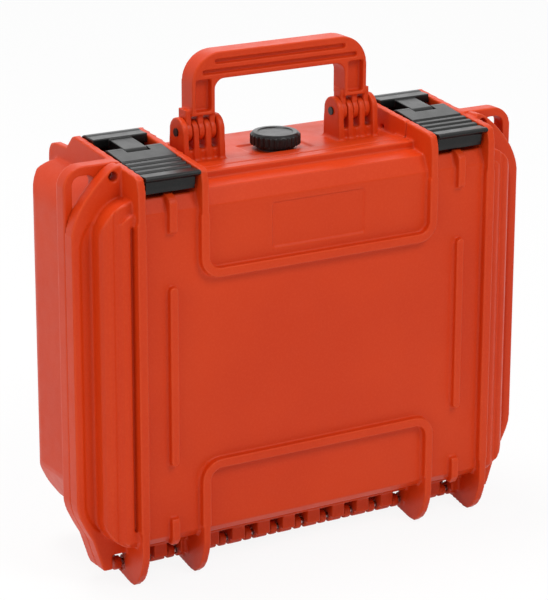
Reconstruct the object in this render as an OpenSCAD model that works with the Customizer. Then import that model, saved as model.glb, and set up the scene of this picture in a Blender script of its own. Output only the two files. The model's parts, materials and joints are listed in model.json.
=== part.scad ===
// First aid kit in a watertight moulded hard case, standing on its hinge side.
// +X runs along the width, -Y faces the lid, +Z is up; the origin is on the ground
// under the middle of the case. All sizes are in millimetres.

/* [Case] */
// Width over the rims of the two shells
case_w = 336; // [322:1:404]
// Depth of the lid, from the seam to the faces of its ribs
lid_depth = 32; // [30:0.5:40]
// Depth of the base, from the seam to the faces of its ribs
base_depth = 92; // [88:1:112]
// Height of the top wall of the base above the ground
body_top = 264; // [260:1:318]
// Wall thickness of both shells
wall = 3; // [2.4:0.1:3.6]
// Thickness of the lid's rim, front to back
lid_rim_t = 9.6; // [8:0.1:11]
// Thickness of the base's rim, front to back
base_rim_t = 11; // [9:0.1:13]
// How far the rims stand out past the side walls
rim_out = 14; // [12:0.5:18]
// Gap between the two rims
seam_gap = 0.4; // [0.3:0.05:0.6]
// Corner radius of the shells at the seam, seen from the front
shell_r = 28; // [20:1:32]
// Corner radius of the raised panels beside the lid's outer ribs
face_r = 14; // [12:1:16]
// Corner radius of the lower border beside those panels
border_r = 22; // [19:1:26]
// Width of the slanted cuts at the base's two lower corners
low_cut = 18; // [14:0.5:18]
// Radius of the base's back edges
back_r = 16; // [12:1:20]

/* [Ribs and feet] */
// Distance of the outer ribs from the side walls
rib_inset = 23.5; // [21:0.5:27]
// Distance from an outer rib to the inner rib beside it
bay_pitch = 44.7; // [41:0.1:47]
// Thickness of a rib or latch fin
rib_w = 5; // [4:0.5:6]
// How far the ribs stand out of the faces
rib_h = 5; // [4:0.5:6]
// Height of the lowest wall above the ground
foot_h = 28; // [24:1:34]

/* [Hinge] */
// Radius of the hinge pin
hinge_pin_r = 2; // [1.5:0.1:2.5]
// Outer radius of the hinge knuckles
knuckle_r = 4.6; // [4:0.1:5.5]
// Distance from the sides of the case to the ends of the hinge
hinge_inset = 28; // [28:1:60]
// Distance from one lid knuckle to the next
knuckle_pitch = 19.5; // [18.5:1:24.5]

/* [Latches] */
// Radius of the latch pins
latch_pin_r = 2; // [1.5:0.1:2.5]
// Gap between a latch and the fins beside it
latch_gap = 0.5; // [0.4:0.05:0.8]
// Width of the tab that joins the link to the lever
tab_w = 16; // [12:1:18]

/* [Handle] */
// Width of the handle
handle_w = 131; // [110:1:134]
// Height of the grip above the handle pins
handle_h = 50.6; // [46:0.2:61]
// Height of the grip's section
grip_h = 17.5; // [16:0.5:20]
// Thickness of the handle, front to back
handle_t = 15; // [14:0.5:18]
// Width of each leg of the handle
leg_w = 16.5; // [16:0.5:18]
// Radius of the handle pins
handle_pin_r = 1.8; // [1.5:0.1:2.2]

/* [Valve] */
// Radius of the valve knob
knob_r = 16; // [14:0.5:18]
// Height of the valve knob
knob_h = 8; // [6:0.5:9]
// Radius of the valve's stem
stem_r = 8; // [6:0.5:10]

/* [Contents] */
// Thickness of the foam insert in the base
insert_t = 40; // [30:1:45]
// Depth of the pockets in the foam insert
pocket_d = 30; // [20:1:30]
// Thickness of the foam pad in the lid
pad_t = 6; // [4:0.5:8]
// Radius of a bandage roll
roll_r = 21; // [16:0.5:22]

/* [Hidden] */
$fn = 48;

// Running gaps: a turning pin, and a piece that lies in its seat
fit = 0.05;
seat = 0.3;
eps = 0.02;

// Planes along Y: faces of the ribs, faces of the shells, rims and seam
total_d = lid_depth + base_depth;
front_y = -total_d / 2;
seam_y = front_y + lid_depth;
back_y = front_y + total_d;
lid_face_y = front_y + rib_h;
base_face_y = back_y - rib_h;
lid_rim_y = seam_y - seam_gap / 2 - lid_rim_t;
lid_seam_y = seam_y - seam_gap / 2;
base_seam_y = seam_y + seam_gap / 2;
base_rim_y = base_seam_y + base_rim_t;

// Outlines of the shells, of the lid's bays for the latches and of the mouth
side_x = case_w / 2 - rim_out;
rib_outer_x = side_x - rib_inset;
rib_inner_x = rib_outer_x - bay_pitch;
body_bottom = foot_h;
bay_floor = body_top - 3.4;
bay_front_z = bay_floor - 3;
mouth_x = side_x - 5 - wall;
mouth_r = shell_r - 5;
mouth_z0 = body_bottom + 3 + wall;
mouth_z1 = bay_floor - 6;
rim_bottom = body_bottom - 8;
rim_top = body_top + 1.5;

// Lid: bars and grooves of its face, the border round it, and the room behind them
bar_w = 5.6;
side_bar_w = 6.3;
bar_face_y = front_y + 0.8;
border_w = 9;
border_d = 3;
border_top = body_top - 7;
panel_top = body_top - 14;
groove_x0 = rib_outer_x + side_bar_w / 2;
groove_x1 = groove_x0 + 2.4;
groove_y = lid_face_y + 3;
hollow_x = rib_outer_x - 2;
hollow_y = lid_face_y + 6 + wall;

// Raised edge of the lid's rim and the channel beside it; depth of the panel in the face
rim_lip = 5.5;
panel_cut = 1.2;
channel_d = 1.2;

// Eyelets for a strap at the base's upper corners, and the padlock holes beside them
eye_top = body_top + 13;
eye_r = 14;
eye_hole_r = 6;
eye_band = 6;
eye_x0 = rib_outer_x + 15.5;
eye_x1 = case_w / 2 - eye_band;
eye_z0 = body_top - 17;
padlock_r = 3.2;
padlock_x = rib_outer_x + 8;
padlock_z = body_top + 6.5;

// Latches: the bay between two fins, the pin in the base and the pin in the link
bay_mid = (rib_outer_x + rib_inner_x) / 2;
bay_w = rib_outer_x - rib_inner_x - rib_w;
latch_w = bay_w - 2 * latch_gap;
link_y = seam_y + 50;
link_z = body_top + 11;
link_r = 7.5;
lever_y = seam_y + 20;
lever_z = body_top + 9;
lever_r = 6;
fin_front_z = body_top + 9.5;
fin_back_z = body_top + 17.5;
nose_z = body_top - 3.1;
nose_w = 35;

// Hinge: the pin's axis lies in the plane of the seam
hinge_z = rim_bottom - 10;
knuckles = floor((case_w - 2 * hinge_inset) / knuckle_pitch);
lid_knuckle_w = knuckle_pitch / 2;
base_knuckle_w = 5;
lid_knuckle_x = [for (i = [0 : knuckles - 1]) (i - (knuckles - 1) / 2) * knuckle_pitch];
base_knuckle_x = [for (i = [0 : knuckles]) (i - knuckles / 2) * knuckle_pitch];
row_end = knuckles * knuckle_pitch / 2 + base_knuckle_w / 2;
turn_gap = 0.4;
end_gap = 4.5;
turn_r = 6;
skirt_t = 2.5;

// Handle: three knuckles turn between four lugs on each side
handle_y = seam_y + 28;
handle_z = body_top + 18.5;
lug_r = 7.5;
lug_top_r = 9.5;
lug_w = 4;
lug_gap = 0.4;
leg_mid = handle_w / 2 - leg_w / 2;
leg_z = handle_z + lug_top_r + 1;
knuckle_w = 4;
lug_pitch = lug_w + knuckle_w + 2 * lug_gap;
lug_mid = leg_mid + 1;
pocket_w = leg_w - 5;
pocket_cut = 5;
groove_cut = 3;
grip_top = handle_z + handle_h;
grip_r = 20;
pin_head_r = handle_pin_r + 0.9;
plinth_h = 7;
opening_x = handle_w / 2 - leg_w;

// Valve: in a shallow recess in the middle of the top wall
valve_y = handle_y;
recess_x = 22;
recess_y = 14;
recess_cut = 1;
recess_z = body_top - recess_cut;
collar_r = 13;
collar_h = 2;
nut_r = 12;
nut_h = 4;
gasket_h = 1;
spindle_r = 3;
nut_z = body_top - wall - nut_h;

// Contents: everything stands in pockets of the foam insert
insert_y1 = base_face_y - wall - seat;
insert_y0 = insert_y1 - insert_t;
pocket_y = insert_y0 + pocket_d;
box_w = 92;
box_h = 60;
bottle_r = 13;
bottle_h = 74;
bottle_x = 122;
bottle_y = insert_y0 + bottle_r + 2;
bottle_z = -60;
neck_r = 6;
cap_r = 9;
cap_h = 13;
tweezer_x = 104;
tweezer_z = -96;
tweezer_w = 8;
tweezer_len = 88;
// Height of the middle of the insert, from which the places in it are measured
mid_z = (mouth_z0 + mouth_z1) / 2;

// Outline that repeats the points of its right side, from one end to the other, on the left
function whole(right) = concat(right, [for (i = [len(right) - 1 : -1 : 0]) [-right[i][0], right[i][1]]]);

module yz_plate(points, x0, x1) {
  translate([x0, 0, 0]) rotate([90, 0, 90]) linear_extrude(x1 - x0) polygon(points);
}

module xz_plate(y0, y1) {
  translate([0, y1, 0]) rotate([90, 0, 0]) linear_extrude(y1 - y0) children();
}

module rounded(x0, x1, z0, z1, r) {
  translate([x0 + r, z0]) square([x1 - x0 - 2 * r, z1 - z0]);
  translate([x0, z0 + r]) square([x1 - x0, z1 - z0 - 2 * r]);
  for (x = [x0 + r, x1 - r], z = [z0 + r, z1 - r]) translate([x, z]) circle(r);
}

module both_sides() {
  children();
  mirror([1, 0, 0]) children();
}

// Mirrored about the upright plane at y
module mirror_y(y) {
  translate([0, 2 * y, 0]) mirror([0, 1, 0]) children();
}

module x_rod(y, z, r, x0, x1) {
  translate([x0, y, z]) rotate([0, 90, 0]) cylinder(r = r, h = x1 - x0);
}

module block(x0, x1, y0, y1, z0, z1) {
  translate([x0, y0, z0]) cube([x1 - x0, y1 - y0, z1 - z0]);
}

// Solid form of the lid's tub: a face that ends beside the outer ribs in two terraces;
// grow is positive for the outside and negative for the hollow
module lid_form(grow) {
  xf = side_x + grow;
  yf = lid_face_y - grow;
  top = body_top + grow;
  low = body_bottom - grow;
  xr = rib_outer_x + grow;
  side = [[xf, lid_seam_y], [xf, yf + 9], [xf - 1.4, yf + 5.8], [xf - 4, yf + 3.5],
    [xf - 7, yf + 3.2], [xf - 9, yf + 4.3], [xf - 12.5, yf + 0.8], [xf - 14.5, yf]];
  intersection() {
    union() {
      xz_plate(yf, lid_rim_y) translate([-xr, low + 1]) square([2 * xr, top - low - 1]);
      xz_plate(yf, yf + border_d + 2)
        rounded(-xf + border_w, xf - border_w, low, panel_top + grow, face_r + grow);
      xz_plate(yf + border_d, lid_rim_y) rounded(-xf, xf, low, border_top + grow, border_r + grow);
      xz_plate(lid_rim_y - eps, lid_seam_y) rounded(-xf, xf, low, top, shell_r + grow);
    }
    translate([0, 0, low - 1]) linear_extrude(top - low + 2) polygon(whole(side));
    yz_plate([[lid_seam_y, low], [lid_seam_y, top - 2], [yf + 5, top - 5.5], [yf, top - 16],
      [yf, low + 5], [yf + 4, low]], -xf - 1, xf + 1);
  }
}

// Solid form of the base's tub, with all its back edges round
module base_form(grow) {
  xf = side_x - 1 + grow;
  yb = base_face_y + grow;
  top = body_top + grow;
  low = body_bottom - grow;
  r = back_r + grow;
  intersection() {
    xz_plate(base_seam_y, yb) rounded(-xf, xf, low, top, shell_r + grow);
    xz_plate(base_seam_y - 1, yb + 1) slanted(xf, low, top + 1);
    translate([0, 0, low - 1]) linear_extrude(top - low + 2) back_rounded(-xf, xf, base_seam_y, yb, r);
    rotate([90, 0, 90]) translate([0, 0, -xf - 1]) linear_extrude(2 * xf + 2)
      side_rounded(base_seam_y, yb, low, top, r);
  }
}

// Outline up to z with slanted cuts at its lower corners
module slanted(x, low, z) {
  h = low_cut * 5 / 3;
  polygon(whole([[x + 1, z], [x + 1, low + h + 5], [x - 1.2, low + h - 2], [x - low_cut + 1.2, low + 2],
    [x - low_cut, low - 1]]));
}

module back_rounded(x0, x1, y0, y1, r) {
  translate([x0, y0]) square([x1 - x0, y1 - y0 - r]);
  translate([x0 + r, y0]) square([x1 - x0 - 2 * r, y1 - y0]);
  for (x = [x0 + r, x1 - r]) translate([x, y1 - r]) circle(r);
}

module side_rounded(y0, y1, z0, z1, r) {
  translate([y0, z0]) square([y1 - y0 - r, z1 - z0]);
  translate([y0, z0 + r]) square([y1 - y0, z1 - z0 - 2 * r]);
  for (z = [z0 + r, z1 - r]) translate([y1 - r, z]) circle(r);
}

module mouth_outline() {
  rounded(-mouth_x, mouth_x, mouth_z0, mouth_z1, mouth_r);
}

// Rim outline; its lower corners slope down to the ends of the hinge
module rim_outline(top) {
  w = case_w / 2;
  half = [[w, top], [w, rim_bottom + 38], [w - 0.7, rim_bottom + 33.5], [w - 2.4, rim_bottom + 28.5],
    [w - 6, rim_bottom + 21], [w - 11, rim_bottom + 12], [w - 17, hinge_z + 3.4],
    [w - 18, hinge_z + 1.2], [w - 18.5, hinge_z], [row_end + end_gap, hinge_z],
    [row_end + end_gap, rim_bottom], [0, rim_bottom], [0, top]];
  polygon(half);
  mirror([1, 0]) polygon(half);
}

// The lid's rim, with an ear beside each outer fin
module lid_rim_outline() {
  w = case_w / 2;
  f = rib_outer_x + rib_w / 2;
  z = body_top;
  half = [[0, 0], [w, 0], [w, z - 28], [w - 1, z - 23], [w - 2.9, z - 17.7], [w - 5.8, z - 12],
    [w - 9.7, z - 6.4], [w - 14.3, z - 0.8], [w - 19.4, z + 4.4], [f + 10.5, z + 8.8],
    [f + 7.6, z + 11], [f + 4.8, z + 12.5], [f + 2.5, eye_top], [f, eye_top], [f, rim_top],
    [0, rim_top]];
  intersection() {
    rim_outline(eye_top);
    union() {
      polygon(half);
      mirror([1, 0]) polygon(half);
    }
  }
}

// The lid's rim has a raised edge along its sides
module lid_rim() {
  w = case_w / 2 - rim_lip;
  difference() {
    xz_plate(lid_rim_y, lid_seam_y) lid_rim_outline();
    xz_plate(lid_rim_y - 1, lid_rim_y + channel_d)
      rounded(-w, w, body_bottom + 6, body_top - 14, shell_r - 4);
  }
}

// The base's rim, with a round ear for the strap at each upper corner
module base_rim_outline() {
  w = case_w / 2;
  z = body_top - 40;
  rim_outline(rim_top);
  for (s = [0, 1]) mirror([s, 0]) {
    translate([w - eye_r, eye_top - eye_r]) circle(eye_r);
    translate([w - 2 * eye_r, z]) square([2 * eye_r, eye_top - eye_r - z]);
    translate([rib_outer_x, z]) square([w - eye_r - rib_outer_x, eye_top - z]);
  }
}

module eyelet_hole() {
  difference() {
    rounded(eye_x0, eye_x1, eye_z0, eye_top - eye_band, eye_hole_r);
    translate([side_x - shell_r, body_top - shell_r]) circle(shell_r + 3);
  }
}

// Knuckles on short webs, which reach from the pin's height up to web_z
module hinge_knuckles(places, width, web_y0, web_y1, web_z) {
  for (x = places) {
    x_rod(seam_y, hinge_z, knuckle_r, x - width / 2, x + width / 2);
    block(x - width / 2, x + width / 2, web_y0, web_y1, hinge_z, web_z);
  }
}

// Room in one shell for the knuckles of the other to turn
module turning_room(places, width) {
  half = width / 2 + turn_gap;
  for (x = places) block(x - half, x + half, seam_y - turn_r, seam_y + turn_r, -1, rim_bottom);
}

// Bore for the hinge pin; it stops inside the end knuckles
module hinge_bore() {
  x_rod(seam_y, hinge_z, hinge_pin_r + fit, -row_end + 2, row_end - 2);
}

// Rib down the lid's face that ends in a foot, with its heel under the hinge
module lid_rib(x) {
  f = front_y;
  yz_plate([[lid_rim_y, foot_h + 6], [lid_seam_y, foot_h + 2], [lid_seam_y, rim_bottom],
    [seam_y - knuckle_r - 1, rim_bottom - 2], [seam_y - knuckle_r - 1, hinge_z - 3],
    [seam_y - 2, hinge_z - knuckle_r - 0.8], [seam_y + 3, hinge_z - knuckle_r - 0.8],
    [seam_y + 3, 3.2], [f + 20, 0], [f + 14, 0], [f + 8.5, 4], [f + 4.5, 9.5], [f + 1.5, 17], [f, 24],
    [f, body_bottom + 18], [lid_rim_y - 4, body_bottom + 18]], x - rib_w / 2, x + rib_w / 2);
}

module lid_fin(x) {
  f = front_y;
  yz_plate([[lid_seam_y, body_top - 2], [lid_seam_y, fin_front_z + 2.6], [f + 6, fin_front_z],
    [f + 2.4, fin_front_z - 1.5], [f + 0.4, fin_front_z - 8], [f, fin_front_z - 16],
    [f, body_top - 26], [lid_face_y + 1, body_top - 26], [lid_face_y + 6, body_top - 12]],
    x - rib_w / 2, x + rib_w / 2);
}

module base_fin(x) {
  b = back_y;
  yz_plate([[base_seam_y, body_top - 2], [base_seam_y, fin_front_z + 2.6],
    [link_y + 5, fin_back_z], [link_y + 8, fin_back_z - 1.2], [link_y + 16, body_top + 8],
    [b - 9, body_top + 7.4], [b - 4, body_top + 6], [b - 1, body_top + 2], [b, body_top - 4],
    [b, body_top - 40], [base_face_y - 1, body_top - 40], [base_face_y - 1, body_top - back_r],
    [base_face_y - back_r, body_top - 2]], x - rib_w / 2, x + rib_w / 2);
}

module base_rib(x) {
  b = back_y;
  yz_plate([[b - 36, body_bottom + 2], [b - 34, 4], [b - 30, 0], [b - 12, 0], [b - 6, 5],
    [b - 2, 14], [b, 22], [b, body_bottom + 60], [base_face_y - 1, body_bottom + 60],
    [base_face_y - 1, body_bottom + back_r], [base_face_y - back_r, body_bottom + 2]],
    x - rib_w / 2, x + rib_w / 2);
}

// Low upright bar on a face, with round ends
module face_bar(x, z0, z1, y0, y1, w) {
  xz_plate(y0, y1) rounded(x - w / 2, x + w / 2, z0, z1, w / 2 - eps);
}

// Short bars that run over the top and bottom edges of the lid's face
module wrapped_bar(x) {
  f = bar_face_y;
  yz_plate([[f + 1, body_top - 29], [f, body_top - 27.5], [f, body_top - 10.5],
    [f + 1, body_top - 8.2], [f + 3, body_top - 6.2], [f + 5.5, body_top - 5],
    [f + 9, body_top - 4], [f + 12, body_top - 8], [lid_face_y + 1, body_top - 18],
    [lid_face_y + 1, body_top - 29]], x - bar_w / 2, x + bar_w / 2);
  yz_plate([[f + 1, body_bottom + 17], [f, body_bottom + 15.5], [f, body_bottom + 3],
    [f + 3, body_bottom - 1.5], [f + 9, body_bottom - 1.5], [f + 9, body_bottom + 3],
    [lid_face_y + 1, body_bottom + 6], [lid_face_y + 1, body_bottom + 17]], x - bar_w / 2, x + bar_w / 2);
}

// U-shaped rib that joins the two inner ribs across a face
module u_rib(z_leg, z_bar, y0, y1) {
  r = 14;
  w = 6;
  s = z_bar > z_leg ? 1 : -1;
  xo = rib_inner_x + w / 2;
  z0 = min(z_leg, z_bar);
  z1 = max(z_leg, z_bar);
  xz_plate(y0, y1) difference() {
    union() {
      translate([-xo, s > 0 ? z0 : z0 + r]) square([2 * xo, z1 - z0 - r]);
      translate([-xo + r, z0]) square([2 * xo - 2 * r, z1 - z0]);
      for (x = [-xo + r, xo - r]) translate([x, s > 0 ? z1 - r : z0 + r]) circle(r);
    }
    union() {
      translate([-xo + w, s > 0 ? z0 - 1 : z0 + r]) square([2 * xo - 2 * w, z1 - z0 - r + 1]);
      translate([-xo + r, s > 0 ? z0 - 1 : z0 + w]) square([2 * xo - 2 * r, z1 - z0 - w + 1]);
      for (x = [-xo + r, xo - r]) translate([x, s > 0 ? z1 - r : z0 + r]) circle(r - w);
    }
  }
}

module base_shell() color("OrangeRed") difference() {
  union() {
    base_form(0);
    xz_plate(base_seam_y, base_rim_y) base_rim_outline();
    both_sides() {
      for (x = [rib_outer_x, rib_inner_x]) base_fin(x);
      base_rib(rib_inner_x);
      face_bar(rib_inner_x, body_bottom + 55, body_top - 35, base_face_y - 1, back_y, rib_w);
      face_bar(rib_outer_x, body_bottom + 16, body_top - 35, base_face_y - 1, back_y, rib_w);
    }
    hinge_knuckles(base_knuckle_x, base_knuckle_w, seam_y + 3, base_rim_y, hinge_z + 3);
    hinge_skirt();
    // Each knuckle's web turns up to the rim, also where the skirt is open
    for (x = base_knuckle_x) block(x - base_knuckle_w / 2, x + base_knuckle_w / 2,
      base_rim_y - skirt_t, base_rim_y, hinge_z, rim_bottom + eps);
    both_sides() {
      for (i = [0 : 3])
        handle_lug(lug_mid + (i - 1.5) * lug_pitch, i == 0 || i == 3 ? lug_top_r : lug_r);
      // Plinth that joins the four lugs below the knuckles
      block(lug_mid - 1.5 * lug_pitch, lug_mid + 1.5 * lug_pitch, handle_y - lug_r + 0.5,
        handle_y + lug_r - 0.5, body_top - 1, body_top + plinth_h);
    }
  }
  // The mouth is narrower than the hollow behind it, so that the rim has room for the seal
  intersection() {
    base_form(-wall);
    block(-case_w, case_w, base_rim_y - wall, back_y, 0, 2 * body_top);
  }
  xz_plate(base_seam_y - 1, base_rim_y) mouth_outline();
  both_sides() xz_plate(base_seam_y - 1, base_rim_y + 1) eyelet_hole();
  both_sides() padlock_hole(base_rim_y + 1, base_rim_t + 2);
  hinge_bore();
  turning_room(lid_knuckle_x, lid_knuckle_w);
  both_sides() {
    x_rod(link_y, link_z, latch_pin_r + fit, rib_inner_x - fit, rib_outer_x + fit);
    x_rod(handle_y, handle_z, handle_pin_r + fit, lug_mid - 2.5 * lug_pitch, lug_mid + 2.5 * lug_pitch);
    // Small hole low in the inner fin
    x_rod(valve_y, body_top + 3, 1.6, rib_inner_x - rib_w, rib_inner_x + rib_w);
  }
  translate([0, valve_y, body_top - 10]) cylinder(r = stem_r + fit, h = 20);
  block(-recess_x, recess_x, valve_y - recess_y, valve_y + recess_y, recess_z, body_top + 1);
}

// Thin wall behind the knuckles that carries the base's, open where the lid's feet swing
module hinge_skirt() {
  open = rib_w / 2 + 1.5;
  difference() {
    block(-row_end - end_gap - 1, row_end + end_gap + 1, base_rim_y - skirt_t, base_rim_y,
      hinge_z - 4, rim_bottom + eps);
    both_sides() for (x = [rib_outer_x, rib_inner_x])
      block(x - open, x + open, base_rim_y - 2 * skirt_t, base_rim_y + 1, 0, rim_bottom);
  }
}

module padlock_hole(y1, depth) {
  translate([padlock_x, y1, padlock_z]) rotate([90, 0, 0]) cylinder(r = padlock_r, h = depth);
}

// A lug of the handle stands on the top wall and is round about the pin
module handle_lug(x, r) {
  x_rod(handle_y, handle_z, r, x - lug_w / 2, x + lug_w / 2);
  yz_plate([[handle_y - r - 1, body_top - 1], [handle_y + r + 1, body_top - 1],
    [handle_y + r, handle_z], [handle_y - r, handle_z]], x - lug_w / 2, x + lug_w / 2);
}

module lid_shell() color("OrangeRed") difference() {
  union() {
    difference() {
      union() {
        lid_form(0);
        lid_rim();
      }
      both_sides() latch_bay();
    }
    both_sides() {
      for (x = [rib_outer_x, rib_inner_x]) {
        lid_fin(x);
        lid_rib(x);
      }
      face_bar(rib_outer_x, body_bottom + 10, body_top - 18, front_y, lid_face_y + 1, side_bar_w);
      face_bar(bay_mid, body_bottom + 53, body_top - 64, bar_face_y, lid_face_y + 1, bar_w);
      wrapped_bar(bay_mid);
    }
    u_rib(body_top - 20, body_top - 62, front_y, lid_face_y + 1);
    u_rib(body_bottom + 8, body_bottom + 52, front_y, lid_face_y + 1);
    hinge_knuckles(lid_knuckle_x, lid_knuckle_w, lid_rim_y + 2, seam_y, rim_bottom + eps);
  }
  lid_hollow();
  both_sides() block(groove_x0, groove_x1, front_y - 1, groove_y, body_bottom + 12, body_top - 22);
  xz_plate(lid_rim_y - wall - 1, lid_seam_y + 1) mouth_outline();
  xz_plate(lid_seam_y - 3, lid_seam_y + 1) seal_outline(0.1);
  both_sides() padlock_hole(lid_seam_y + 1, lid_rim_t + 2);
  // Sunken panel in the face
  xz_plate(front_y - 1, lid_face_y + panel_cut) rounded(-35, 35, body_top - 50, body_top - 20, 2);
  hinge_bore();
  turning_room(base_knuckle_x, base_knuckle_w);
}

// Lowered bay in the lid's top edge, in which a latch lies
module latch_bay() {
  yz_plate([[lid_seam_y + 1, bay_floor], [front_y + 10, bay_front_z], [front_y - 1, bay_front_z],
    [front_y - 1, body_top + 30], [lid_seam_y + 1, body_top + 30]], rib_inner_x, rib_outer_x);
}

// Hollow of the lid, narrower at the front, behind the grooves and the border
module lid_hollow() {
  intersection() {
    lid_form(-wall);
    union() {
      block(-case_w, case_w, hollow_y, lid_rim_y - wall, 0, 2 * body_top);
      block(-hollow_x, hollow_x, front_y, lid_rim_y - wall, 0, 2 * body_top);
    }
  }
}

module grown_mouth(dx, dz, r) {
  rounded(-mouth_x - dx, mouth_x + dx, mouth_z0 - dz, mouth_z1 + dz, r);
}

// Ring between the mouth and the outside of the rim
module seal_outline(grow) {
  difference() {
    grown_mouth(5 + grow, 4.4 + grow, mouth_r + 4);
    grown_mouth(1.6 - grow, 1.4 - grow, mouth_r + 1);
  }
}

module lid_seal() color("Black") xz_plate(lid_seam_y - 3, lid_seam_y + seam_gap - 0.1) seal_outline(0);

module hinge_pin() color("Silver")
  x_rod(seam_y, hinge_z, hinge_pin_r, -row_end + 2.3, row_end - 2.3);

// Link: a barrel on the pin in the base, and a tab that reaches the lever's pin
module latch_link() color("DimGray") difference() {
  union() {
    x_rod(link_y, link_z, link_r, bay_mid - latch_w / 2, bay_mid + latch_w / 2);
    x_rod(lever_y, lever_z, lever_r, bay_mid - tab_w / 2, bay_mid + tab_w / 2);
    block(bay_mid - latch_w / 2, bay_mid + latch_w / 2, link_y - link_r - 4, link_y,
      link_z + 1, link_z + link_r - 0.6);
    yz_plate([[lever_y, lever_z + lever_r], [lever_y, lever_z - 2], [link_y, link_z - 4],
      [link_y, link_z + link_r - 0.6]], bay_mid - tab_w / 2, bay_mid + tab_w / 2);
  }
  x_rod(link_y, link_z, latch_pin_r + fit, bay_mid - bay_w, bay_mid + bay_w);
  x_rod(lever_y, lever_z, latch_pin_r + fit, bay_mid - bay_w, bay_mid + bay_w);
}

// Lever: a plate with finger ridges, two knuckles at its back and a nose over the lid's edge
module latch_lever() color("DimGray") difference() {
  union() {
    x_rod(lever_y, lever_z, lever_r, bay_mid - latch_w / 2, bay_mid + latch_w / 2);
    yz_plate([[lever_y, lever_z + lever_r], [lever_y, lever_z - 4], [front_y + 14, nose_z + 6],
      [front_y + 8, nose_z + 6.6], [front_y + 2.6, fin_front_z - 4], [front_y + 0.2, fin_front_z - 2.4],
      [front_y + 0.4, fin_front_z - 1], [front_y + 2, fin_front_z - 0.2], [front_y + 5, fin_front_z - 0.6],
      [front_y + 9, fin_front_z - 0.6]],
      bay_mid - latch_w / 2, bay_mid + latch_w / 2);
    yz_plate([[front_y + 4.4, fin_front_z - 2], [front_y + 4.8, nose_z + 3], [front_y + 5.6, nose_z],
      [front_y + 9, nose_z], [front_y + 9.6, fin_front_z - 2]], bay_mid - nose_w / 2, bay_mid + nose_w / 2);
  }
  // Slot for the link's tab
  block(bay_mid - tab_w / 2 - 0.3, bay_mid + tab_w / 2 + 0.3, lever_y - lever_r - 0.6, lever_y + 20,
    body_top - 20, body_top + 30);
  // Finger grooves across the plate
  for (i = [0 : 3])
    x_rod(front_y + 11.5 + i * 6.4, fin_front_z + 0.3 + i * 0.88, 1.7, bay_mid - latch_w, bay_mid + latch_w);
  x_rod(lever_y, lever_z, latch_pin_r + fit, bay_mid - bay_w, bay_mid + bay_w);
}

module link_pin() color("Silver")
  x_rod(link_y, link_z, latch_pin_r, rib_inner_x, rib_outer_x);

module lever_pin() color("Silver")
  x_rod(lever_y, lever_z, latch_pin_r, bay_mid - latch_w / 2, bay_mid + latch_w / 2);

module handle() color("OrangeRed") difference() {
  union() {
    xz_plate(handle_y - handle_t / 2, handle_y + handle_t / 2) handle_outline();
    both_sides() {
      for (i = [-1 : 1]) handle_knuckle(lug_mid + i * lug_pitch);
      // Shoulder across the three knuckles
      block(lug_mid - lug_pitch - knuckle_w / 2, lug_mid + lug_pitch + knuckle_w / 2,
        handle_y - 5, handle_y + 5, leg_z, leg_z + 4);
    }
  }
  both_sides()
    x_rod(handle_y, handle_z, handle_pin_r + fit, lug_mid - 2 * lug_pitch, lug_mid + 2 * lug_pitch);
  handle_cuts();
  mirror_y(handle_y) handle_cuts();
}

// Arch of the handle, from the front
module handle_outline() {
  w = handle_w / 2;
  difference() {
    union() {
      translate([-w, leg_z]) square([2 * w, grip_top - grip_r - leg_z]);
      translate([-w + grip_r, grip_top - 2 * grip_r]) square([2 * w - 2 * grip_r, 2 * grip_r]);
      for (s = [-1, 1]) translate([s * (w - grip_r), grip_top - grip_r]) circle(grip_r);
    }
    rounded(-opening_x, opening_x, handle_z - 20, grip_top - grip_h, 7);
  }
}

module handle_knuckle(x) {
  x_rod(handle_y, handle_z, lug_r - 0.5, x - knuckle_w / 2, x + knuckle_w / 2);
  block(x - knuckle_w / 2, x + knuckle_w / 2, handle_y - 5, handle_y + 5, handle_z, leg_z + 4);
}

// Two long grooves in the grip and a pocket in each leg, on one face of the handle
module handle_cuts() {
  face = handle_y + handle_t / 2;
  for (g = [[opening_x, 6.3], [opening_x + 9, 12.6]]) xz_plate(face - groove_cut, face + 1)
    rounded(-g[0], g[0], grip_top - g[1] - 1.5, grip_top - g[1] + 1.5, 1.4);
  both_sides() xz_plate(face - pocket_cut, face + 1)
    rounded(leg_mid - pocket_w / 2, leg_mid + pocket_w / 2, leg_z + 2.5, grip_top - grip_h + 0.5, 1.5);
}

module handle_pin() color("DimGray") {
  x0 = lug_mid - 1.5 * lug_pitch - lug_w / 2;
  x1 = lug_mid + 1.5 * lug_pitch + lug_w / 2;
  x_rod(handle_y, handle_z, handle_pin_r, x0, x1);
  x_rod(handle_y, handle_z, pin_head_r, x1, x1 + 0.9);
  x_rod(handle_y, handle_z, pin_head_r, x0 - 0.9, x0);
}

module valve_body() color("DimGray") difference() {
  union() {
    translate([0, valve_y, recess_z + gasket_h]) cylinder(r = collar_r, h = collar_h);
    translate([0, valve_y, nut_z - 1]) cylinder(r = stem_r, h = recess_z + gasket_h + collar_h - nut_z);
  }
  translate([0, valve_y, body_top - 30]) cylinder(r = spindle_r + fit, h = 60);
}

module valve_gasket() color("Black") translate([0, valve_y, recess_z]) difference() {
  cylinder(r = collar_r - 1, h = gasket_h);
  translate([0, 0, -1]) cylinder(r = stem_r + fit, h = gasket_h + 2);
}

module valve_nut() color("Silver") translate([0, valve_y, nut_z]) difference() {
  cylinder(r = nut_r, h = nut_h, $fn = 6);
  translate([0, 0, -1]) cylinder(r = stem_r + fit, h = nut_h + 2);
}

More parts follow.
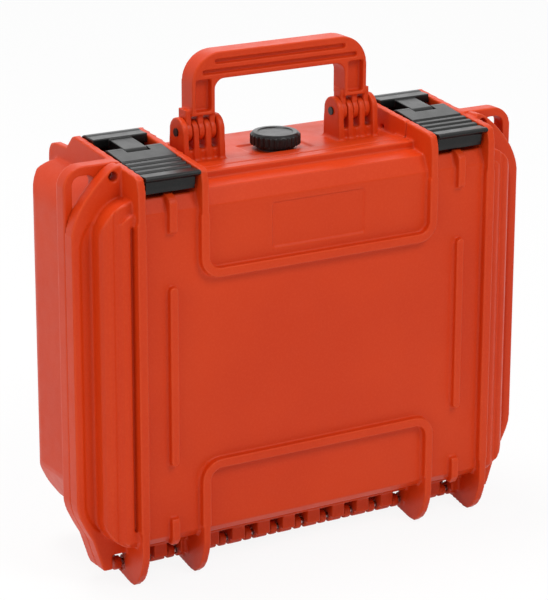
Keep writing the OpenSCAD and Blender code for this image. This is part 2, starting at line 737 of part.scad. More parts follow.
module valve_knob() color("DimGray") {
  z0 = recess_z + gasket_h + collar_h + seat;
  translate([0, valve_y, z0]) difference() {
    union() {
      cylinder(r = knob_r, h = knob_h - 1.4);
      translate([0, 0, knob_h - 1.4]) cylinder(r1 = knob_r, r2 = knob_r - 1.4, h = 1.4);
      for (i = [0 : 29]) rotate([0, 0, i * 12]) translate([knob_r, 0, 0])
        cylinder(r = 0.7, h = knob_h - 1.8, $fn = 24);
    }
    translate([0, 0, knob_h - 0.7]) cylinder(r = knob_r - 4.5, h = 2);
  }
  translate([0, valve_y, z0 - collar_h - 5]) cylinder(r = spindle_r, h = collar_h + 5.5);
}

// Foam block that fills the back of the base, with a pocket for each thing it holds
module foam_insert() color("DarkSlateGray") difference() {
  intersection() {
    base_form(-wall - seat);
    xz_plate(insert_y0, insert_y1) mouth_outline();
  }
  pocket() roll_places() circle(roll_r + seat);
  pocket() gauze_outline(seat);
  pocket() dressing_outline(seat);
  pocket() plaster_outline(seat);
  pocket() foil_outline(seat);
  pocket() bottle_outline(seat);
  pocket() cold_outline(seat);
  xz_plate(insert_y0 - 1, insert_y0 + 4) tweezer_outline(seat);
}

module pocket() {
  xz_plate(insert_y0 - 1, pocket_y) children();
}

// Outlines of the things in the pockets; g is the room around them
module placed(x, z, w, h, r, g) {
  rounded(x - g, x + w + g, mid_z + z - g, mid_z + z + h + g, r);
}

module roll_places() {
  for (i = [0 : 2]) translate([-91 - roll_r + i * (2 * roll_r + 8), mid_z + 74]) children();
}

module gauze_outline(g) {
  for (i = [0, 1]) placed(24 + i * 60, 50, 52, 48, 3, g);
}

module dressing_outline(g) {
  for (i = [0, 1]) placed(-134 + i * 66, -30, 58, 72, 3, g);
}

module plaster_outline(g) placed(10, -24, box_w, box_h, 2, g);
module foil_outline(g) placed(-134, -98, 104, 56, 4, g);
module cold_outline(g) placed(-18, -98, 110, 60, 6, g);
module tweezer_outline(g) placed(tweezer_x, tweezer_z, tweezer_w, tweezer_len, 2, g);
module bottle_outline(g) {
  placed(bottle_x - bottle_r, bottle_z, 2 * bottle_r, bottle_h + cap_h + 3, 0.6, g);
}

// Things in the pockets, each standing a little out of the foam
module stored(out) {
  xz_plate(insert_y0 - out, pocket_y - seat) children();
}

module bandage_rolls() color("White") stored(5) roll_places() circle(roll_r);

module gauze_packs() color("WhiteSmoke") stored(3) gauze_outline(0);
module dressing_packs() color("LightBlue") stored(3) dressing_outline(0);
module plaster_box() color("Khaki") stored(6) plaster_outline(0);
module foil_blanket() color("Gold") stored(4) foil_outline(0);
module instant_cold_pack() color("SteelBlue") stored(2) cold_outline(0);

module tweezers() color("Silver") xz_plate(insert_y0, insert_y0 + 4 - seat) difference() {
  tweezer_outline(0);
  translate([tweezer_x + tweezer_w / 2 - 0.8, mid_z + tweezer_z - 1]) square([1.6, tweezer_len - 8]);
}

module antiseptic_bottle() color("White") translate([bottle_x, bottle_y, mid_z + bottle_z]) {
  cylinder(r = bottle_r, h = bottle_h);
  cylinder(r = neck_r, h = bottle_h + 10);
}

module antiseptic_cap() color("RoyalBlue")
  translate([bottle_x, bottle_y, mid_z + bottle_z + bottle_h + seat]) difference() {
    cylinder(r = cap_r, h = cap_h);
    translate([0, 0, -1]) cylinder(r = neck_r + fit, h = cap_h - 1.5);
  }

module lid_foam() color("DarkSlateGray") intersection() {
  lid_form(-wall - seat);
  xz_plate(lid_face_y + wall + seat, lid_face_y + wall + seat + pad_t)
    rounded(-hollow_x + seat, hollow_x - seat, mouth_z0, mouth_z1, mouth_r);
}

base_shell();
lid_shell();
lid_seal();
hinge_pin();
mirror([1, 0, 0]) latch_link();  // latch_link_left
latch_link();  // latch_link_right
mirror([1, 0, 0]) latch_lever();  // latch_lever_left
latch_lever();  // latch_lever_right
mirror([1, 0, 0]) link_pin();  // link_pin_left
link_pin();  // link_pin_right
mirror([1, 0, 0]) lever_pin();  // lever_pin_left
lever_pin();  // lever_pin_right
handle();
mirror([1, 0, 0]) handle_pin();  // handle_pin_left
handle_pin();  // handle_pin_right
valve_body();
valve_gasket();
valve_nut();
valve_knob();
foam_insert();
lid_foam();
bandage_rolls();
gauze_packs();
dressing_packs();
plaster_box();
foil_blanket();
tweezers();
antiseptic_bottle();
antiseptic_cap();
instant_cold_pack();
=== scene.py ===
"""First aid kit: an orange watertight hard case, standing closed on its hinge side, with its contents."""
import json
import math

import bmesh
import bpy
from mathutils import Matrix, Vector, noise


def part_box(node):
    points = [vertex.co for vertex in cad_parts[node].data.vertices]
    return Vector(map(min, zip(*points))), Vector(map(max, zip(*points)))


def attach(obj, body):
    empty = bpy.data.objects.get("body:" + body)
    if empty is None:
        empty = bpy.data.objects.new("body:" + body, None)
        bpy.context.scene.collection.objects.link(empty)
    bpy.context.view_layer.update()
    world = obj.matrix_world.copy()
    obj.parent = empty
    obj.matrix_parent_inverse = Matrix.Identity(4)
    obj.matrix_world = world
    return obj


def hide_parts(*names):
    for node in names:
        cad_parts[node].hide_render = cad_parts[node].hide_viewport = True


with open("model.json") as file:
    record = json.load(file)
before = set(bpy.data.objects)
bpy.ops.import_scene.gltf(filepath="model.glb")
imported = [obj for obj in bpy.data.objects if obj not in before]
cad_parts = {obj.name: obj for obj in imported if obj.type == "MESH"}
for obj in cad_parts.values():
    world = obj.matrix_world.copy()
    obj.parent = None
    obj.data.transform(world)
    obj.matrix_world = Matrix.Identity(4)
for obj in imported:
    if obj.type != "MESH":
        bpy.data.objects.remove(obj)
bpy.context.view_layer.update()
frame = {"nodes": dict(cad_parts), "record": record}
MM = 0.001
BODY_OF = {node: body for body, nodes in frame["record"]["behaviour"]["bodies"].items() for node in nodes}
SLOT_OF = {part["node"]: part["material_slot"] for part in frame["record"]["subparts"]}


def linear(r, g, b):
    """A colour as it looks on screen, 0 to 255, as linear values with alpha."""
    out = []
    for c in (r, g, b):
        c = c / 255.0
        out.append(c / 12.92 if c <= 0.04045 else ((c + 0.055) / 1.055) ** 2.4)
    return (*out, 1.0)


# ---------------------------------------------------------------- camera and light

IMAGE_H = 600.0
FOCAL_PX = 2682.7
VIEW_AZ = math.radians(31.27)
VIEW_EL = math.radians(17.90)
VIEW_ROLL = math.radians(0.24)
VIEW_DIST = 1.7726
AIM = Vector((0.0, -0.017, 0.150))
SHIFT_PX = (12.4, 18.6)


def add_camera():
    """The photograph's camera: a long lens to the left of the lid and above it."""
    data = bpy.data.cameras.new("camera")
    cam = bpy.data.objects.new("camera", data)
    bpy.context.scene.collection.objects.link(cam)
    level = math.cos(VIEW_EL)
    forward = Vector((math.sin(VIEW_AZ) * level, math.cos(VIEW_AZ) * level, -math.sin(VIEW_EL)))
    right = Vector((math.cos(VIEW_AZ), -math.sin(VIEW_AZ), 0.0))
    up = right.cross(forward)
    right, up = (right * math.cos(VIEW_ROLL) + up * math.sin(VIEW_ROLL),
                 up * math.cos(VIEW_ROLL) - right * math.sin(VIEW_ROLL))
    turn = Matrix((right, up, -forward)).transposed().to_4x4()
    cam.matrix_world = Matrix.Translation(AIM - forward * VIEW_DIST) @ turn
    data.sensor_fit = "VERTICAL"
    data.sensor_height = 36.0
    data.sensor_width = 36.0
    data.lens = FOCAL_PX / IMAGE_H * data.sensor_height
    data.shift_x = -SHIFT_PX[0] / IMAGE_H
    data.shift_y = SHIFT_PX[1] / IMAGE_H
    data.clip_end = 20.0
    data.dof.use_dof = False
    bpy.context.scene.camera = cam


def add_lamp(name, place, size, power, target=(0.0, 0.0, 0.14)):
    data = bpy.data.lights.new(name, "AREA")
    data.shape = "DISK"
    data.size = size
    data.energy = power
    lamp = bpy.data.objects.new(name, data)
    bpy.context.scene.collection.objects.link(lamp)
    lamp.location = place
    lamp.rotation_euler = (Vector(target) - Vector(place)).to_track_quat("-Z", "Y").to_euler()


def seen_directly(tree):
    """1 for rays from the camera and for those that mirror or pass through to it, else 0."""
    path = tree.nodes.new("ShaderNodeLightPath")
    total = path.outputs["Is Camera Ray"]
    for name in ("Is Glossy Ray", "Is Transmission Ray"):
        add = tree.nodes.new("ShaderNodeMath")
        add.operation = "MAXIMUM"
        tree.links.new(total, add.inputs[0])
        tree.links.new(path.outputs[name], add.inputs[1])
        total = add.outputs[0]
    return total


def add_world(strength):
    """A plain white surround that shows as white and lights the object softly."""
    world = bpy.data.worlds.new("studio")
    bpy.context.scene.world = world
    world.use_nodes = True
    tree = world.node_tree
    soft = tree.nodes["Background"]
    soft.inputs["Color"].default_value = (1.0, 1.0, 1.0, 1.0)
    soft.inputs["Strength"].default_value = strength
    white = tree.nodes.new("ShaderNodeBackground")
    white.inputs["Color"].default_value = (1.0, 1.0, 1.0, 1.0)
    white.inputs["Strength"].default_value = 1.0
    both = tree.nodes.new("ShaderNodeMixShader")
    tree.links.new(seen_directly(tree), both.inputs["Fac"])
    tree.links.new(soft.outputs["Background"], both.inputs[1])
    tree.links.new(white.outputs["Background"], both.inputs[2])
    tree.links.new(both.outputs["Shader"], tree.nodes["World Output"].inputs["Surface"])


FLOOR_WHITE = 0.90


def add_floor():
    """A pale floor that keeps the object's shadow but shows nearly white."""
    data = bpy.data.meshes.new("floor")
    build = bmesh.new()
    bmesh.ops.create_grid(build, x_segments=1, y_segments=1, size=6.0)
    build.to_mesh(data)
    build.free()
    floor = bpy.data.objects.new("floor", data)
    bpy.context.scene.collection.objects.link(floor)
    s = Shader("floor_paper", 0.9, specular=0.1)
    s.bsdf.inputs["Base Color"].default_value = (0.95, 0.95, 0.95, 1.0)
    glow = s.tree.nodes.new("ShaderNodeEmission")
    share = s.tree.nodes.new("ShaderNodeMath")
    share.operation = "MULTIPLY"
    share.inputs[1].default_value = FLOOR_WHITE
    s.link(seen_directly(s.tree), share.inputs[0])
    both = s.tree.nodes.new("ShaderNodeMixShader")
    s.link(share.outputs[0], both.inputs["Fac"])
    s.link(s.bsdf.outputs["BSDF"], both.inputs[1])
    s.link(glow.outputs["Emission"], both.inputs[2])
    s.link(both.outputs["Shader"], s.tree.nodes["Material Output"].inputs["Surface"])
    data.materials.append(s.mat)


# ---------------------------------------------------------------- materials

class Shader:
    """A material under construction: its nodes, its principled shader and its object coordinates."""

    def __init__(self, name, roughness=0.5, metallic=0.0, specular=0.5):
        self.mat = bpy.data.materials.new(name)
        self.mat.use_nodes = True
        self.tree = self.mat.node_tree
        self.bsdf = self.tree.nodes["Principled BSDF"]
        self.bsdf.inputs["Roughness"].default_value = roughness
        self.bsdf.inputs["Metallic"].default_value = metallic
        self.bsdf.inputs["Specular IOR Level"].default_value = specular
        self.coords = self.tree.nodes.new("ShaderNodeTexCoord").outputs["Object"]

    def link(self, a, b):
        self.tree.links.new(a, b)

    def colour(self, socket):
        self.link(socket, self.bsdf.inputs["Base Color"])

    def noise(self, scale, detail=3.0, stretch=(1.0, 1.0, 1.0), rough=0.5):
        mapping = self.tree.nodes.new("ShaderNodeMapping")
        mapping.inputs["Scale"].default_value = stretch
        self.link(self.coords, mapping.inputs["Vector"])
        node = self.tree.nodes.new("ShaderNodeTexNoise")
        node.inputs["Scale"].default_value = scale
        node.inputs["Detail"].default_value = detail
        node.inputs["Roughness"].default_value = rough
        self.link(mapping.outputs["Vector"], node.inputs["Vector"])
        return node.outputs["Fac"]

    def wave(self, axis, scale, distortion=0.4):
        node = self.tree.nodes.new("ShaderNodeTexWave")
        node.bands_direction = axis
        node.inputs["Scale"].default_value = scale
        node.inputs["Distortion"].default_value = distortion
        self.link(self.coords, node.inputs["Vector"])
        return node.outputs["Fac"]

    def ramp(self, value, stops):
        node = self.tree.nodes.new("ShaderNodeValToRGB")
        ramp = node.color_ramp
        while len(ramp.elements) < len(stops):
            ramp.elements.new(0.5)
        for element, (place, colour) in zip(ramp.elements, stops):
            element.position = place
            element.color = colour
        self.link(value, node.inputs["Fac"])
        return node.outputs["Color"]

    def mix(self, a, b, factor):
        node = self.tree.nodes.new("ShaderNodeMix")
        node.data_type = "RGBA"
        for socket, value in ((node.inputs[6], a), (node.inputs[7], b), (node.inputs[0], factor)):
            if isinstance(value, bpy.types.NodeSocket):
                self.link(value, socket)
            else:
                socket.default_value = value
        return node.outputs[2]

    def times(self, a, b):
        node = self.tree.nodes.new("ShaderNodeMath")
        node.operation = "MULTIPLY"
        self.link(a, node.inputs[0])
        self.link(b, node.inputs[1])
        return node.outputs[0]

    def grey(self, value, low, high, bottom=0.0, top=1.0):
        node = self.tree.nodes.new("ShaderNodeMapRange")
        node.inputs["From Min"].default_value = low
        node.inputs["From Max"].default_value = high
        node.inputs["To Min"].default_value = bottom
        node.inputs["To Max"].default_value = top
        self.link(value, node.inputs["Value"])
        return node.outputs["Result"]

    def bump(self, height, distance, strength=1.0, below=None):
        node = self.tree.nodes.new("ShaderNodeBump")
        node.inputs["Strength"].default_value = strength
        node.inputs["Distance"].default_value = distance
        self.link(height, node.inputs["Height"])
        if below is not None:
            self.link(below, node.inputs["Normal"])
        self.link(node.outputs["Normal"], self.bsdf.inputs["Normal"])
        return node.outputs["Normal"]

    def pointiness(self, low, high):
        """1 along outer edges and corners, 0 on flats."""
        node = self.tree.nodes.new("ShaderNodeNewGeometry")
        return self.grey(node.outputs["Pointiness"], low, high)


def moulded(name, body, light, dark, roughness, grain, specular, highlight_and_wear):
    """Moulded plastic: faint shade drift, fine spark-eroded grain, and convex edges painted lighter: a
    painted highlight that also stands for light rubbing.
    """
    s = Shader(name, roughness, specular=specular)
    drift = s.ramp(s.noise(9.0, 3.0), [(0.38, dark), (0.62, body)])
    # Painted highlight on convex edges: patchy lightening towards the light colour, also standing for light
    # rubbing.
    edge_highlight_and_rub = s.times(s.pointiness(0.51, 0.58), s.grey(s.noise(70.0, 5.0), 0.3, 0.7, highlight_and_wear * 0.4, highlight_and_wear))
    flecked = s.mix(drift, light, s.grey(s.noise(700.0, 3.0), 0.45, 0.75, 0.0, 0.12))
    s.colour(s.mix(flecked, light, edge_highlight_and_rub))
    sheen = s.grey(s.noise(110.0, 5.0), 0.3, 0.7, roughness - 0.05, roughness + 0.05)
    s.link(sheen, s.bsdf.inputs["Roughness"])
    s.bump(s.noise(2400.0, 2.0), grain, 0.7)
    return s.mat


def rubber(name):
    s = Shader(name, 0.6)
    s.colour(s.ramp(s.noise(300.0), [(0.3, linear(24, 24, 25)), (0.7, linear(40, 40, 41))]))
    s.bump(s.noise(1800.0), 0.00003)
    return s.mat


def steel(name):
    s = Shader(name, 0.28, metallic=1.0)
    streaks = s.noise(900.0, 3.0, stretch=(0.05, 1.0, 1.0))
    s.colour(s.ramp(streaks, [(0.3, linear(150, 152, 155)), (0.7, linear(196, 198, 200))]))
    s.bump(streaks, 0.00002)
    return s.mat


def foam(name, dark, light):
    """Closed-cell foam: a pitted skin of small bubbles."""
    s = Shader(name, 0.92, specular=0.15)
    cells = s.tree.nodes.new("ShaderNodeTexVoronoi")
    cells.inputs["Scale"].default_value = 700.0
    s.link(s.coords, cells.inputs["Vector"])
    pits = s.grey(cells.outputs["Distance"], 0.0, 0.7)
    skin = s.ramp(s.noise(260.0, 4.0), [(0.35, dark), (0.7, light)])
    # Painted shade: the centres of the bubble pits are darkened.
    s.colour(s.mix(skin, dark, s.grey(pits, 0.0, 1.0, 0.6, 0.0)))
    s.bump(pits, 0.0003)
    return s.mat


def woven(name, colour, dark, pitch):
    """Plain weave: two crossed bands of threads."""
    s = Shader(name, 0.85, specular=0.2)
    cross = s.mix(s.wave("X", pitch), s.wave("Z", pitch), 0.5)
    s.colour(s.mix(dark, colour, cross))
    s.bump(cross, 0.0002)
    return s.mat


def crimped(name, colour, shade, roughness, crease):
    """Paper or film of a sachet: soft creases with a fine tooth."""
    s = Shader(name, roughness)
    s.colour(s.ramp(s.noise(30.0, 5.0), [(0.3, shade), (0.65, colour)]))
    soft = s.bump(s.noise(45.0, 5.0, rough=0.6), crease * 4)
    s.bump(s.noise(700.0, 3.0), crease * 0.3, below=soft)
    return s.mat


def metallised(name):
    s = Shader(name, 0.25, metallic=1.0)
    s.colour(s.ramp(s.noise(60.0, 3.0), [(0.3, linear(196, 150, 70)), (0.7, linear(232, 190, 104))]))
    s.bump(s.noise(120.0, 6.0, rough=0.65), 0.0008)
    return s.mat


ORANGE = moulded("orange_polypropylene", linear(208, 60, 14), linear(226, 96, 52), linear(202, 55, 11),
                 0.42, 0.000025, 0.19, 0.5)
BLACK = moulded("black_polyamide", linear(11, 11, 11), linear(60, 60, 58), linear(8, 8, 8),
                0.32, 0.00004, 0.30, 0.22)
WHITE_PE = moulded("white_polyethylene", linear(226, 226, 220), linear(240, 240, 236), linear(216, 216, 210),
                   0.35, 0.00002, 0.45, 0.3)
BLUE_PP = moulded("blue_polypropylene", linear(34, 72, 140), linear(60, 100, 168), linear(28, 62, 126),
                  0.35, 0.00002, 0.45, 0.4)

MATERIAL_OF_SLOT = {
    "orange_plastic": ORANGE,
    "black_plastic": BLACK,
    "rubber": rubber("seal_rubber"),
    "steel": steel("ground_steel"),
    "foam": foam("closed_cell_foam", linear(34, 35, 38), linear(66, 67, 71)),
    "gauze": woven("gauze", linear(240, 236, 228), linear(204, 198, 186), 320.0),
    "paper": crimped("sachet_paper", linear(232, 236, 238), linear(206, 214, 220), 0.7, 0.0002),
    "card": crimped("plain_card", linear(216, 198, 156), linear(200, 180, 138), 0.75, 0.00006),
    "foil": metallised("blanket_film"),
    "bottle_plastic": WHITE_PE,
    "cap_plastic": BLUE_PP,
    "pouch": crimped("sealed_pouch", linear(96, 148, 182), linear(72, 122, 158), 0.3, 0.0004),
}


# ---------------------------------------------------------------- pieces cut from the CAD nodes

def add_piece(name, node, mesh):
    """A new piece that stands for a node: it takes the node's body, slot and material."""
    obj = bpy.data.objects.new(name, mesh)
    bpy.context.scene.collection.objects.link(obj)
    mesh.materials.clear()
    mesh.materials.append(MATERIAL_OF_SLOT[SLOT_OF[node]])
    mesh.shade_smooth()
    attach(obj, BODY_OF[node])
    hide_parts(node)
    return obj


def baked(obj):
    """The object's mesh with its modifiers applied; the object itself goes."""
    graph = bpy.context.evaluated_depsgraph_get()
    mesh = bpy.data.meshes.new_from_object(obj.evaluated_get(graph), depsgraph=graph)
    bpy.data.objects.remove(obj)
    return mesh


def soften(node, voxel, passes, keep, prefix="moulded_"):
    """A copy of a node whose edges run over to small radii, as they leave a mould."""
    obj = bpy.data.objects.new("source", frame["nodes"][node].data.copy())
    bpy.context.scene.collection.objects.link(obj)
    obj.modifiers.new("weld", "WELD").merge_threshold = 0.01 * MM
    remesh = obj.modifiers.new("remesh", "REMESH")
    remesh.mode = "VOXEL"
    remesh.voxel_size = voxel * MM
    smooth = obj.modifiers.new("smooth", "SMOOTH")
    smooth.factor = 0.5
    smooth.iterations = passes
    piece = add_piece(prefix + node, node, baked(obj))
    count = len(piece.data.polygons)
    if count > keep:
        thin = piece.modifiers.new("thin", "DECIMATE")
        thin.ratio = keep / count
        name = piece.name
        piece.name = "dense"
        piece = add_piece(name, node, baked(piece))
    return piece


def paint(node):
    """A node whose CAD shape is right keeps it and gets its material."""
    data = frame["nodes"][node].data
    data.materials.clear()
    data.materials.append(MATERIAL_OF_SLOT[SLOT_OF[node]])


def islands(node):
    """(lowest corner, highest corner) of each solid of a node, from left to right and bottom to top."""
    build = bmesh.new()
    build.from_mesh(frame["nodes"][node].data)
    bmesh.ops.remove_doubles(build, verts=build.verts, dist=0.01 * MM)
    left = set(build.verts)
    found = []
    while left:
        edge = [left.pop()]
        group = list(edge)
        while edge:
            near = {e.other_vert(v) for v in edge for e in v.link_edges} & left
            left -= near
            edge = list(near)
            group += edge
        low = Vector([min(v.co[k] for v in group) for k in range(3)])
        high = Vector([max(v.co[k] for v in group) for k in range(3)])
        found.append((low, high))
    build.free()
    return sorted(found, key=lambda box: (round(box[0].x, 4), round(box[0].z, 4)))


# ---------------------------------------------------------------- contents, modelled for themselves

def add_sheet(build, columns, rows, place):
    """A grid of faces whose corner (i, j) is at place(i / columns, j / rows); returns its vertices."""
    verts = [[build.verts.new(place(i / columns, j / rows)) for j in range(rows + 1)]
             for i in range(columns + 1)]
    for i in range(columns):
        for j in range(rows):
            build.faces.new((verts[i][j], verts[i + 1][j], verts[i + 1][j + 1], verts[i][j + 1]))
    return verts


def finished(build, name):
    bmesh.ops.remove_doubles(build, verts=build.verts, dist=0.005 * MM)
    bmesh.ops.recalc_face_normals(build, faces=build.faces)
    mesh = bpy.data.meshes.new(name)
    build.to_mesh(mesh)
    build.free()
    return mesh


SEAL = 4.0 * MM
PINCH = 1.2 * MM


def add_pouch(build, low, high, crumple, seed, upright=False):
    """A filled sachet, flat on its crimped end seals and crowned between them, its sides drawn in."""
    size = high - low
    seam = (low.y + high.y) / 2
    along, across = (size.z, size.x) if upright else (size.x, size.z)
    columns, rows = max(24, int(along / (1.1 * MM))), max(16, int(across / (1.8 * MM)))

    def surface(side):
        def place(u, v):
            a, b = u * along, v * across
            inner = min(max((min(a, along - a) - SEAL) / (along / 2 - SEAL), 0.0), 1.0)
            crown = (1 - (1 - inner) ** 3) ** 0.5 * (1 - abs(2 * v - 1) ** 4) ** 0.5
            draw = PINCH * math.sin(math.pi * u) * (1 - 2 * v)
            puff = noise.noise(Vector((a, b, seed)) * 60.0) * crumple * crown
            crimp = 0.25 * MM * math.sin(a / MM * 5.0) if inner == 0.0 else 0.0
            y = seam + side * crown * (size.y / 2 - crumple) + puff + crimp
            x, z = (b + draw, a) if upright else (a, b + draw)
            return (low.x + x, min(max(y, low.y), high.y), low.z + z)
        return place

    add_sheet(build, columns, rows, surface(-1))
    add_sheet(build, columns, rows, surface(1))


def add_stacks(node, name, layers, crumple, upright=False):
    """Every solid of the node becomes a stack of sachets, each shifted a little."""
    build = bmesh.new()
    margin, gap = 0.5 * MM, 0.05 * MM
    for number, (low, high) in enumerate(islands(node)):
        step = (high.y - low.y) / layers
        for layer in range(layers):
            shift = Vector((0.6, 0.0, 0.5)) * MM * noise.noise(Vector((layer * 3.7, number, 0.5)))
            first = Vector((low.x + margin, low.y + layer * step, low.z + margin)) + shift
            last = Vector((high.x - margin, low.y + (layer + 1) * step - gap, high.z - margin)) + shift
            add_pouch(build, first, last, crumple * MM, layer + 10 * number, upright)
    piece = add_piece(name, node, finished(build, name))


def add_rolls():
    """Rolled bandages: a spiral of gauze on the end that shows, and a free end on the outside."""
    node = "bandage_rolls"
    build = bmesh.new()
    turns, around = 14, 120
    least = 0.02 * MM
    for low, high in islands(node):
        centre = (low + high) / 2
        radius = (high.x - low.x) / 2
        pitch = radius / turns
        rim = 0.5 * MM

        def rise(r, angle):
            """Depth of the groove between one turn and the next."""
            t = (r / pitch - angle / (2 * math.pi)) % 1.0
            return 0.9 * MM * (1 - math.sin(math.pi * t) ** 0.5)

        def outer(angle):
            return radius - rim - 0.8 * MM * angle / (2 * math.pi)

        def end(side):
            base = low.y if side < 0 else high.y

            def place(u, v):
                angle = 2 * math.pi * u
                r = max(v, 0.02) * outer(angle)
                y = base - side * (rise(r, angle) + 0.6 * MM * (r / radius) ** 6)
                return (centre.x + r * math.cos(angle), y, centre.z + r * math.sin(angle))
            return place

        rings = [add_sheet(build, around, turns * 6, end(side)) for side in (-1, 1)]
        for i in range(around):
            a, b = rings[0][i][-1], rings[0][i + 1][-1]
            c, d = rings[1][i + 1][-1], rings[1][i][-1]
            build.faces.new((a, b, c, d))
        # The free end of the gauze: the step between the last turn and the one below it
        step = [rings[0][around][-1], rings[0][0][-1], rings[1][0][-1], rings[1][around][-1]]
        build.faces.new(step)
        for ring, flip in ((rings[0], False), (rings[1], True)):
            for j in range(turns * 6):
                quad = [ring[0][j], ring[0][j + 1], ring[around][j + 1], ring[around][j]]
                if max((quad[1].co - quad[2].co).length, (quad[0].co - quad[3].co).length) > least:
                    build.faces.new(quad if flip else quad[::-1])
            core = [ring[i][0] for i in range(around)]
            build.faces.new(core if flip else core[::-1])
    piece = add_piece("gauze_rolls", node, finished(build, "gauze_rolls"))


def add_lid_foam():
    """The pad in the lid: foam with rows of rounded bumps towards the contents."""
    node = "lid_foam"
    low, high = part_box(node)
    low, high = Vector(low), Vector(high)
    size = high - low
    bump_pitch, corner = 18.0 * MM, 26.0 * MM
    columns, rows = int(size.x / (2.2 * MM)), int(size.z / (2.2 * MM))

    def outline(u, v):
        """Pulls the four corners of the grid in to round ones."""
        x, z = (u - 0.5) * size.x, (v - 0.5) * size.z
        dx, dz = abs(x) - (size.x / 2 - corner), abs(z) - (size.z / 2 - corner)
        if dx > 0 and dz > 0:
            far = max(dx, dz) / math.hypot(dx, dz)
            x = math.copysign(size.x / 2 - corner + dx * far, x)
            z = math.copysign(size.z / 2 - corner + dz * far, z)
        return (low.x + high.x) / 2 + x, (low.z + high.z) / 2 + z

    def top(u, v):
        x, z = outline(u, v)
        edge = min(u, 1 - u) * size.x, min(v, 1 - v) * size.z
        fade = min(min(edge) / (6 * MM), 1.0)
        waves = math.cos(2 * math.pi * x / bump_pitch) * math.cos(2 * math.pi * z / bump_pitch)
        y = high.y - size.y * (0.30 - 0.26 * waves * fade) - 1.2 * MM * (1 - fade) ** 2
        return (x, y, z)

    def bottom(u, v):
        x, z = outline(u, v)
        return (x, low.y, z)

    build = bmesh.new()
    front = add_sheet(build, columns, rows, top)
    back = add_sheet(build, columns, rows, bottom)
    around = ([(i, 0) for i in range(columns)] + [(columns, j) for j in range(rows)]
              + [(i, rows) for i in range(columns, 0, -1)] + [(0, j) for j in range(rows, 0, -1)])
    for (i, j), (k, m) in zip(around, around[1:] + around[:1]):
        build.faces.new((front[i][j], front[k][m], back[k][m], back[i][j]))
    piece = add_piece("bumped_pad", node, finished(build, "bumped_pad"))


def add_plaster_box():
    """A folded carton: thin walls with a tucked lid, its flap a little proud and its corners soft."""
    node = "plaster_box"
    low, high = islands(node)[0]
    build = bmesh.new()

    def slab(x0, x1, y0, y1, z0, z1, soft):
        made = bmesh.ops.create_cube(build, size=1.0)["verts"]
        for v in made:
            v.co = Vector((x0 if v.co.x < 0 else x1, y0 if v.co.y < 0 else y1, z0 if v.co.z < 0 else z1))
        edges = list({e for v in made for e in v.link_edges})
        bmesh.ops.bevel(build, geom=edges, offset=soft, segments=3, affect="EDGES")

    lid_y = low.y + 0.5 * MM
    slab(low.x, high.x, lid_y + 0.25 * MM, high.y, low.z, high.z, 0.8 * MM)
    slab(low.x + 0.4 * MM, high.x - 0.4 * MM, low.y, lid_y + 0.4 * MM,
         low.z + 1.4 * MM, high.z - 0.2 * MM, 0.2 * MM)
    notch = (low.x + high.x) / 2
    slab(notch - 9 * MM, notch + 9 * MM, lid_y - 0.2 * MM, lid_y + 0.5 * MM,
         low.z + 0.3 * MM, low.z + 1.5 * MM, 0.2 * MM)
    add_piece("carton", node, finished(build, "carton"))


def add_tweezers():
    """Two sprung arms that leave a common head, bow apart and meet at fine tips."""
    node = "tweezers"
    low, high = islands(node)[0]
    length, middle = high.z - low.z, (low.x + high.x) / 2
    half_gap, bow = 0.55 * MM, (high.x - low.x) / 2 - 0.9 * MM
    build = bmesh.new()
    steps = 48
    for side in (-1, 1):

        def place(u, v):
            """u runs from the tips to the head, v round the arm's section."""
            arch = math.sin(math.pi * min(u * 0.93, 1.0)) ** 0.8
            x = middle + side * (half_gap + (bow - half_gap) * arch)
            half_t = 0.5 * MM
            half_w = (high.y - low.y) / 2 * (0.28 + 0.72 * min(u * 2.2, 1.0))
            angle = 2 * math.pi * v
            square = 0.5
            cx = math.copysign(abs(math.cos(angle)) ** square, math.cos(angle))
            cy = math.copysign(abs(math.sin(angle)) ** square, math.sin(angle))
            return (x + half_t * cx, (low.y + high.y) / 2 + half_w * cy, low.z + u * length)

        arm = add_sheet(build, steps, 16, place)
        for ring, flip in ((arm[0], False), (arm[-1], True)):
            loop = ring[:-1]
            build.faces.new(loop if flip else loop[::-1])
    add_piece("sprung_tweezers", node, finished(build, "sprung_tweezers"))


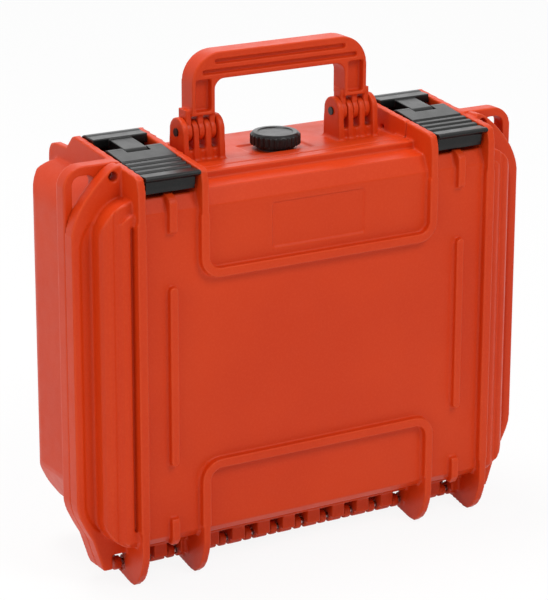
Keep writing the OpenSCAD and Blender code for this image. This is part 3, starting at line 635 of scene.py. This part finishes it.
def add_cap():
    """Screw cap with fine upright ribs and a rounded top."""
    node = "antiseptic_cap"
    low, high = islands(node)[0]
    centre, radius, height = (low + high) / 2, (high.x - low.x) / 2, high.z - low.z
    build = bmesh.new()
    # Outline from the skirt's inside to the middle of the top, as shares of the radius and the height
    profile = [(0.72, 0.0), (0.98, 0.0), (1.0, 0.03), (1.0, 0.86), (0.95, 0.95), (0.86, 1.0),
               (0.5, 1.0), (0.02, 0.985)]
    ribs, around = 36, 288

    def place(u, v):
        at = v * (len(profile) - 1)
        first = min(int(at), len(profile) - 2)
        part = at - first
        r = profile[first][0] * (1 - part) + profile[first + 1][0] * part
        z = profile[first][1] * (1 - part) + profile[first + 1][1] * part
        if 0.06 < z < 0.9:
            r -= 0.035 * (0.5 + 0.5 * math.cos(2 * math.pi * u * ribs))
        angle = 2 * math.pi * u
        x, y = r * radius * math.cos(angle), r * radius * math.sin(angle)
        return (centre.x + x, centre.y + y, low.z + z * height)

    rings = add_sheet(build, around, (len(profile) - 1) * 4, place)
    for index, flip in ((0, True), (-1, False)):
        loop = [column[index] for column in rings[:-1]]
        build.faces.new(loop[::-1] if flip else loop)
    add_piece("ribbed_cap", node, finished(build, "ribbed_cap"))


# ---------------------------------------------------------------- the scene

add_camera()
add_world(0.36)
add_lamp("key", (0.5, -1.5, 1.9), 1.0, 21.0)
add_lamp("left", (-2.2, -0.6, 0.9), 1.4, 11.0)
add_lamp("top", (-0.3, 0.5, 2.2), 1.0, 24.0)
add_lamp("back", (1.1, 1.9, 1.3), 1.4, 4.0)
add_floor()

# Node: voxel size and smoothing passes of its softened copy, and the most faces that it keeps
SOFTENED = {
    "base_shell": (0.85, 2, 190000), "lid_shell": (0.8, 2, 190000), "handle": (0.6, 5, 90000),
    "latch_link_left": (0.4, 2, 40000), "latch_link_right": (0.4, 2, 40000),
    "latch_lever_left": (0.32, 2, 80000), "latch_lever_right": (0.32, 2, 80000),
    "valve_knob": (0.35, 2, 60000), "valve_body": (0.4, 2, 20000), "antiseptic_bottle": (0.6, 6, 20000),
}
for name, (voxel, passes, keep) in SOFTENED.items():
    soften(name, voxel, passes, keep)
soften("foam_insert", 1.2, 5, 120000, "cut_")
add_lid_foam()
add_rolls()
add_stacks("gauze_packs", "gauze_sachets", 7, 0.3)
add_stacks("dressing_packs", "dressing_sachets", 6, 0.4, upright=True)
add_stacks("foil_blanket", "folded_blanket", 2, 1.2)
add_stacks("instant_cold_pack", "cold_pouch", 1, 1.6)
add_plaster_box()
add_tweezers()
add_cap()
replaced = {name for name, obj in frame["nodes"].items() if obj.hide_render}
for name in frame["nodes"]:
    if name not in replaced:
        paint(name)

bpy.context.scene.view_settings.view_transform = "Standard"
